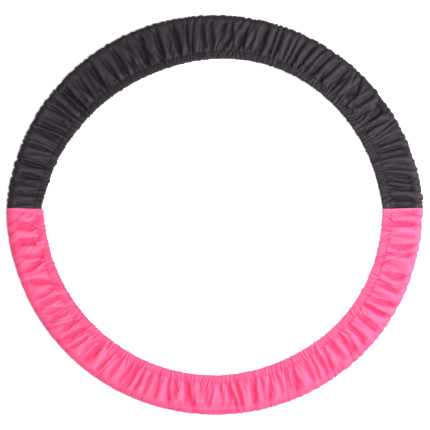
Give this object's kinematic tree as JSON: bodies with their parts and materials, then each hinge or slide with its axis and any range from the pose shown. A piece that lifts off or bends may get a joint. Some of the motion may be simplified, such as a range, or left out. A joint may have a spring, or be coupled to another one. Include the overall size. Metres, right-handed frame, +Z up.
{
  "type": "rhythmic hoop",
  "caption": "Rhythmic gymnastics hoop packed in a two-colour gathered fabric cover with an elastic mouth; the plastic ring turns inside it.",
  "frame": {"origin": "centre of the ring, in the plane that its underside rests on", "axes": "+Z up along the ring's axis when it lies flat; +Y from the ring's centre to the middle of the black half of the cover; +X to the right-hand cross seam, where the colours meet"},
  "size_m": [0.8392, 0.839, 0.0208],
  "materials": {
    "hoop_plastic": "satin",
    "plug_plastic": "satin",
    "tape": "gloss",
    "black_cloth": "satin",
    "pink_cloth": "satin",
    "elastic": "matt",
    "seam_thread": "matt"
  },
  "bodies": {
    "cover": {"upper_panel": "black_cloth", "lower_panel": "pink_cloth", "right_cross_seam": "seam_thread", "left_cross_seam": "seam_thread", "front_elastic": "elastic", "back_elastic": "elastic", "elastic_joint_threads": "seam_thread", "front_hem_thread": "seam_thread", "back_hem_thread": "seam_thread"},
    "hoop": {"hoop_tube": "hoop_plastic", "joint_plug": "plug_plastic", "joint_pins": "plug_plastic", "joint_tape": "tape"}
  },
  "joints": [
    {"name": "hoop_turn", "type": "hinge", "parent": "cover", "child": "hoop", "pos_m": [0, 0, 0.01017], "axis": [0, 0, 1], "continuous": true}
  ]
}
